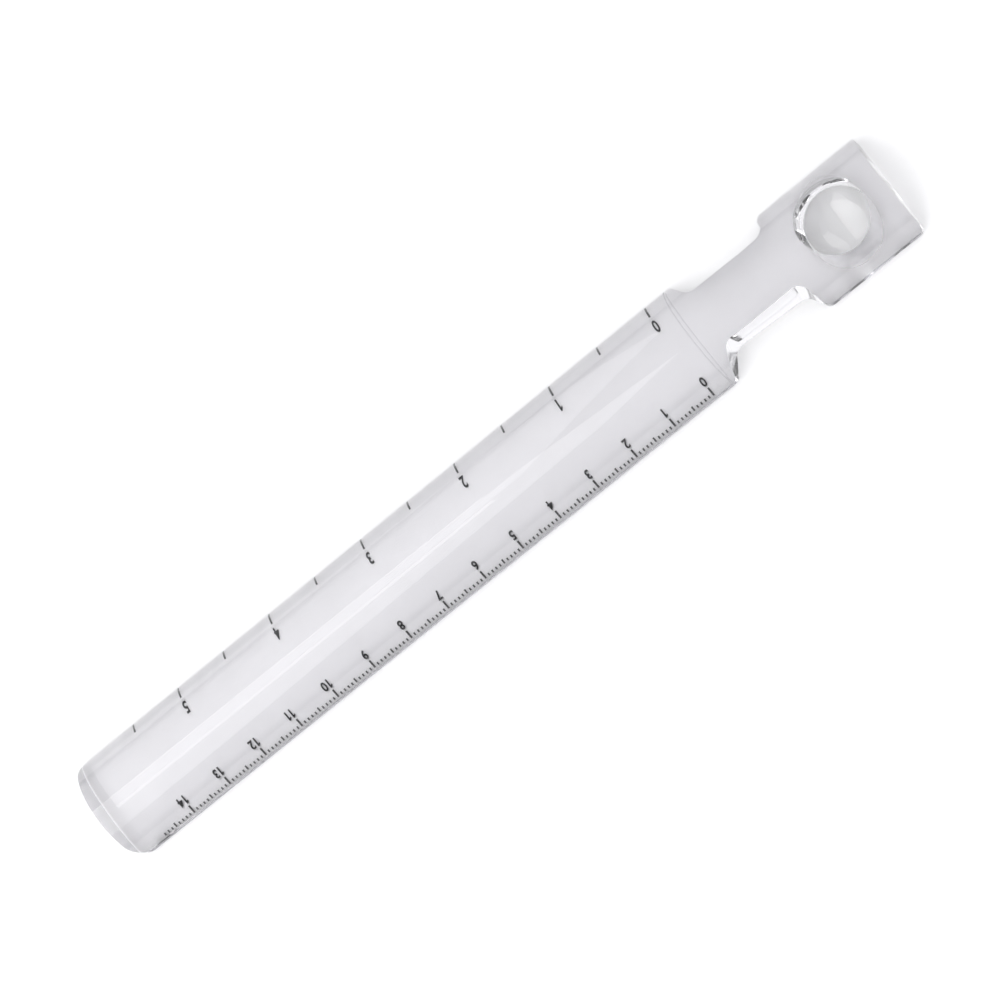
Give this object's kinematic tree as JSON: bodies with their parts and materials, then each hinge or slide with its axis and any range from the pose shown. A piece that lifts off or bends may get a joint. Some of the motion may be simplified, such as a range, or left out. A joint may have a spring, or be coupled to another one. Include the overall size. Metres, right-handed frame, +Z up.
{
  "type": "bar magnifier ruler",
  "caption": "Clear acrylic domed bar that magnifies the centimetre and inch scales printed under it, with a necked handle that holds a round spot lens.",
  "frame": {"origin": "on the flat underside, midway between the end of the head and the bar's free end, on the centre line", "axes": "+X from the handle to the bar's free end, +Y to the edge with the centimetre scale, +Z up out of the dome"},
  "size_m": [0.2082, 0.024, 0.0106],
  "materials": {
    "clear_acrylic": "clear acrylic, polished",
    "lens_acrylic": "clear acrylic, optically polished",
    "scale_ink": "matt black print"
  },
  "bodies": {
    "root": {"bar_lens": "clear_acrylic", "handle": "clear_acrylic", "spot_lens": "lens_acrylic", "metric_scale": "scale_ink", "inch_scale": "scale_ink"}
  },
  "joints": []
}
